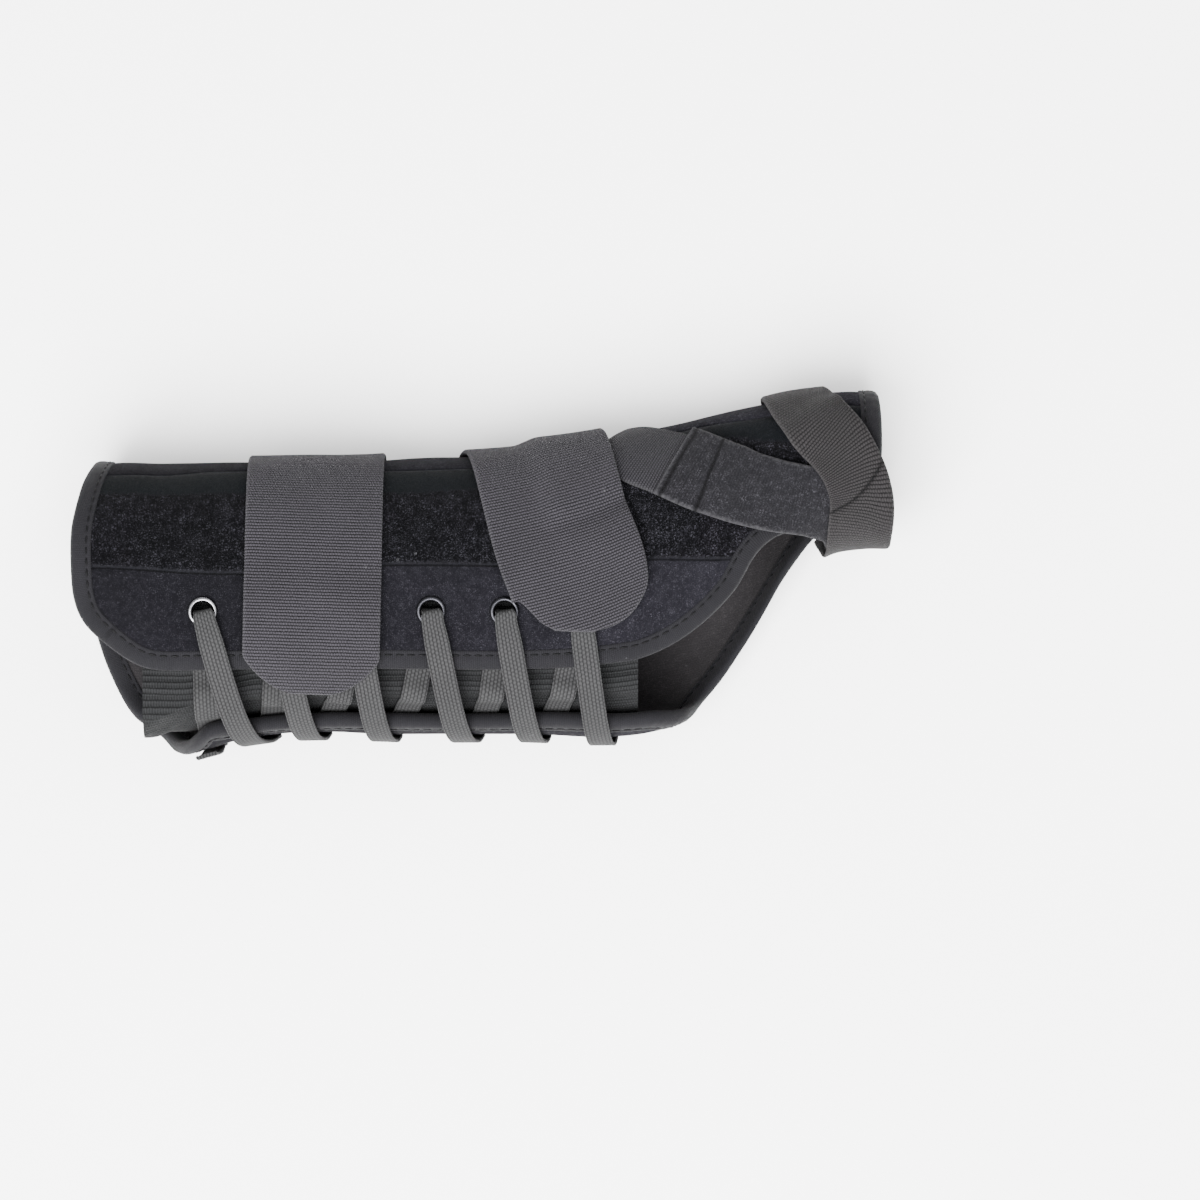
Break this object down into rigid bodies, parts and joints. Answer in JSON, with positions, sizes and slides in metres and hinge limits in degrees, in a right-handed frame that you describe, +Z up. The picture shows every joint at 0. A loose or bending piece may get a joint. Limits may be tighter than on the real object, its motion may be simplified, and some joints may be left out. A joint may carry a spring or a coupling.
{
  "type": "thumb spica splint",
  "caption": "Right-hand wrist and thumb splint: padded wrap laced at the little finger side over a ribbed gusset, with wrist, forearm and thumb straps.",
  "frame": {"origin": "middle of the bounding box's underside, on the surface that the palm side lies on", "axes": "+X from the forearm end to the thumb end, +Y towards the thumb side, +Z up through the back of the hand"},
  "size_m": [0.241, 0.1106, 0.0646],
  "materials": {
    "loop_cloth": "napped loop cloth, near black",
    "binding_tape": "smooth matt tape, dark slate",
    "rib_knit": "ribbed elastic knit, slate",
    "strap_web": "fine cross-ribbed webbing, grey",
    "narrow_web": "fine cross-ribbed webbing, dark grey",
    "loop_strap": "napped loop strap, dark grey",
    "elastic_web": "ribbed elastic web, grey",
    "lace_cord": "flat lace ribbed lengthwise, mid grey",
    "bright_eyelet": "bright plated",
    "dark_eyelet": "gunmetal plated, satin"
  },
  "bodies": {
    "root": {"wrap_body": "loop_cloth", "edge_binding": "binding_tape", "knit_gusset": "rib_knit", "forearm_strap": "strap_web", "wrist_strap": "strap_web", "thumb_strap_base": "narrow_web", "thumb_strap": "loop_strap", "thumb_band": "elastic_web", "lace": "lace_cord", "eyelet_back_1": "bright_eyelet", "eyelet_back_2": "dark_eyelet", "eyelet_back_3": "dark_eyelet", "eyelet_back_4": "dark_eyelet", "eyelet_back_5": "dark_eyelet", "eyelet_back_6": "dark_eyelet", "eyelet_palm_1": "dark_eyelet", "eyelet_palm_2": "dark_eyelet", "eyelet_palm_3": "dark_eyelet", "eyelet_palm_4": "dark_eyelet", "eyelet_palm_5": "dark_eyelet", "eyelet_palm_6": "dark_eyelet", "eyelet_palm_7": "dark_eyelet"}
  },
  "joints": []
}
